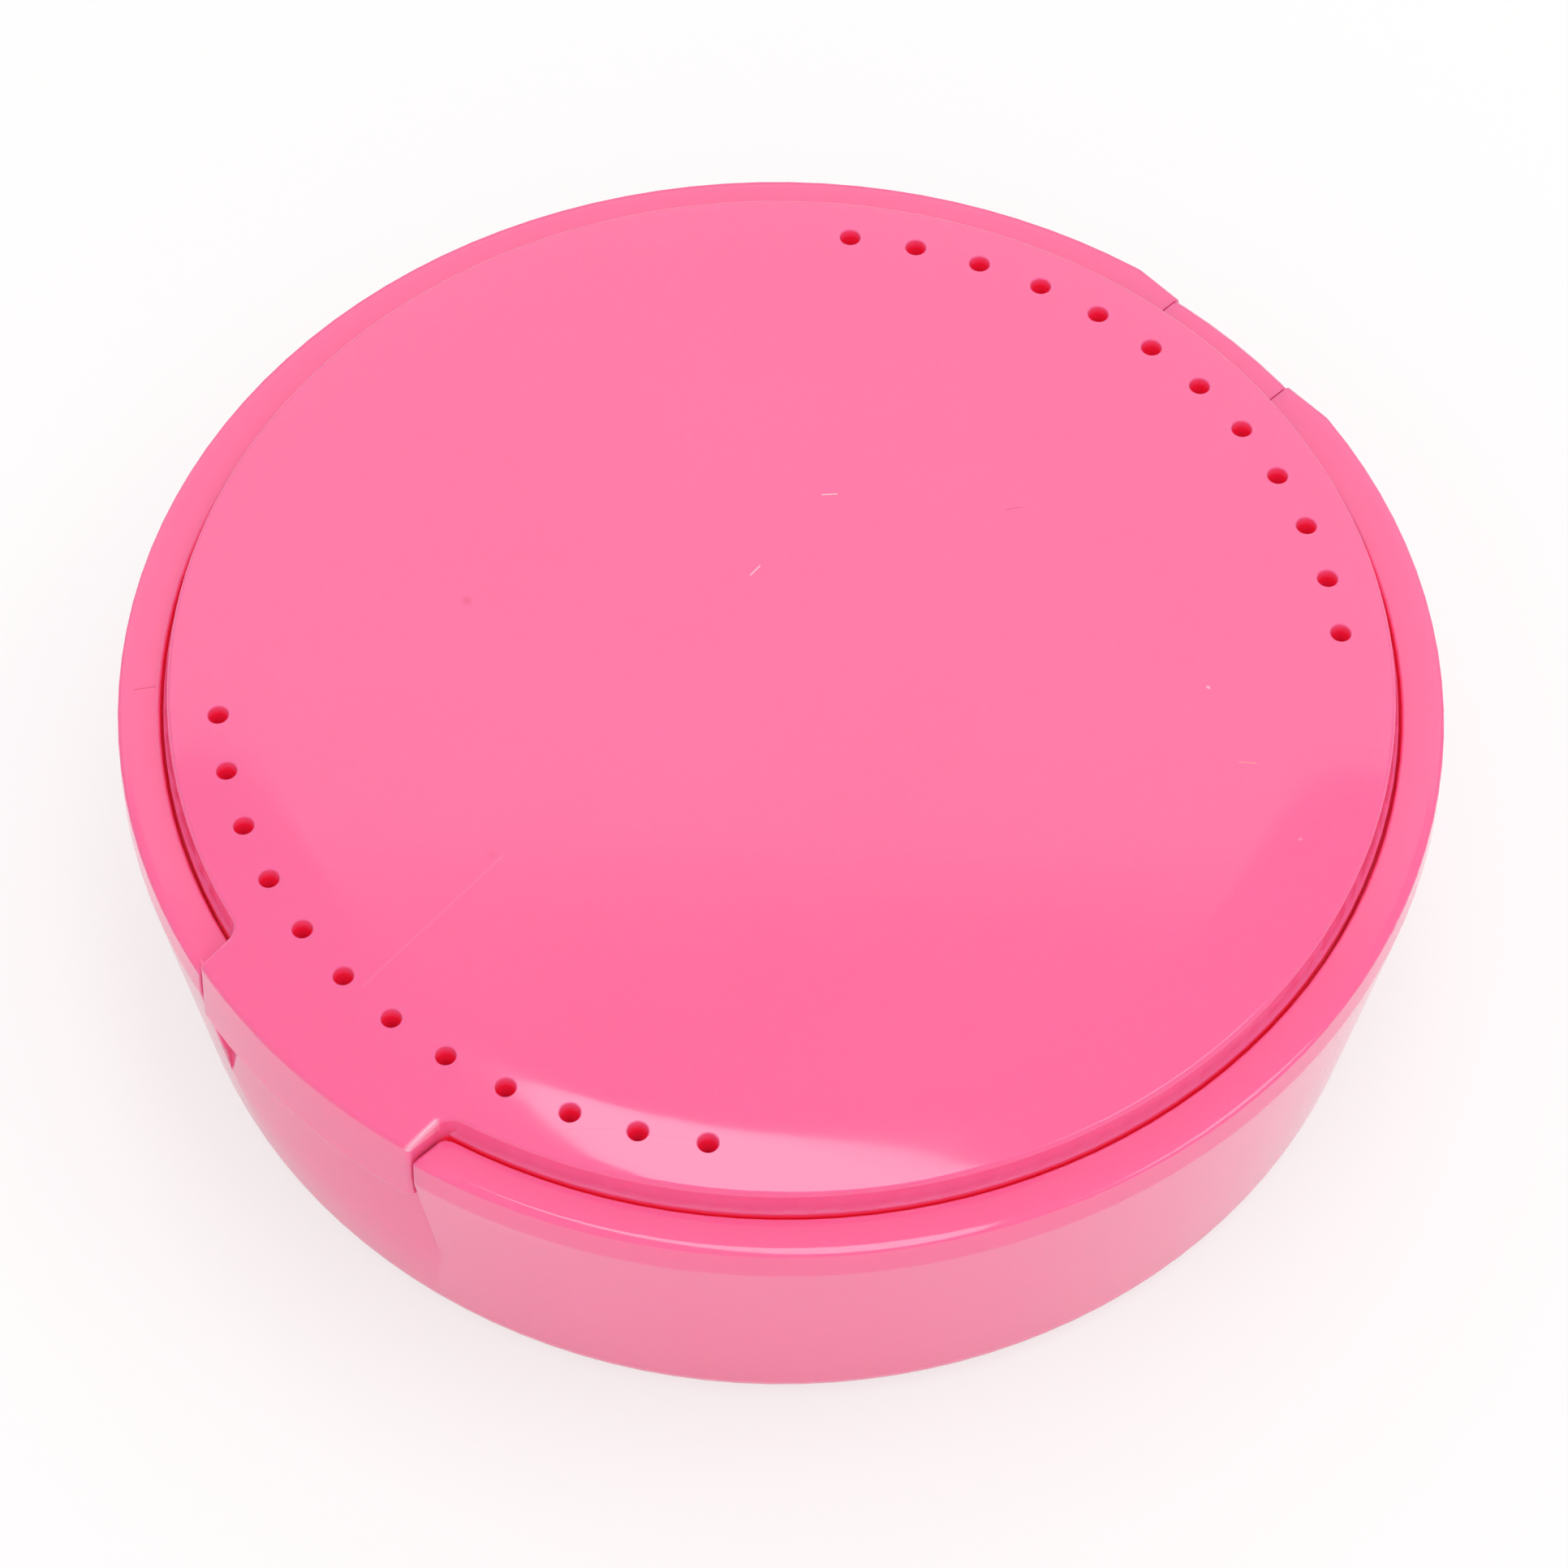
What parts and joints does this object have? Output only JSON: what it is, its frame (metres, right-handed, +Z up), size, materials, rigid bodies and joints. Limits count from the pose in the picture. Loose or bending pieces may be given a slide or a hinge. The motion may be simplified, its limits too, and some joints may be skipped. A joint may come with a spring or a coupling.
{
  "type": "orthodontic retainer case",
  "caption": "Round hinged plastic case for an orthodontic retainer: tapered bowl with a collar, vented drop-in lid with a front snap tab, lid swings open on a hinge pin at the back",
  "frame": {"origin": "centre of the foot ring, on the surface that the case stands on", "axes": "+Z up, +Y towards the hinge, -Y towards the latch tab, +X to the right when the latch faces the viewer"},
  "size_m": [0.0822, 0.0816, 0.0244],
  "materials": {
    "base_plastic": "glossy injection-moulded pink polypropylene",
    "lid_plastic": "glossy injection-moulded pink polypropylene, faint scratches",
    "pin_steel": "drawn stainless steel wire"
  },
  "bodies": {
    "base": {"base": "base_plastic", "hinge_pin": "pin_steel"},
    "lid": {"lid": "lid_plastic"}
  },
  "joints": [
    {"name": "lid_hinge", "type": "hinge", "parent": "base", "child": "lid", "pos_m": [0, 0.0388, 0.0203], "axis": [-1, 0, 0], "range_deg": [0, 160]}
  ]
}
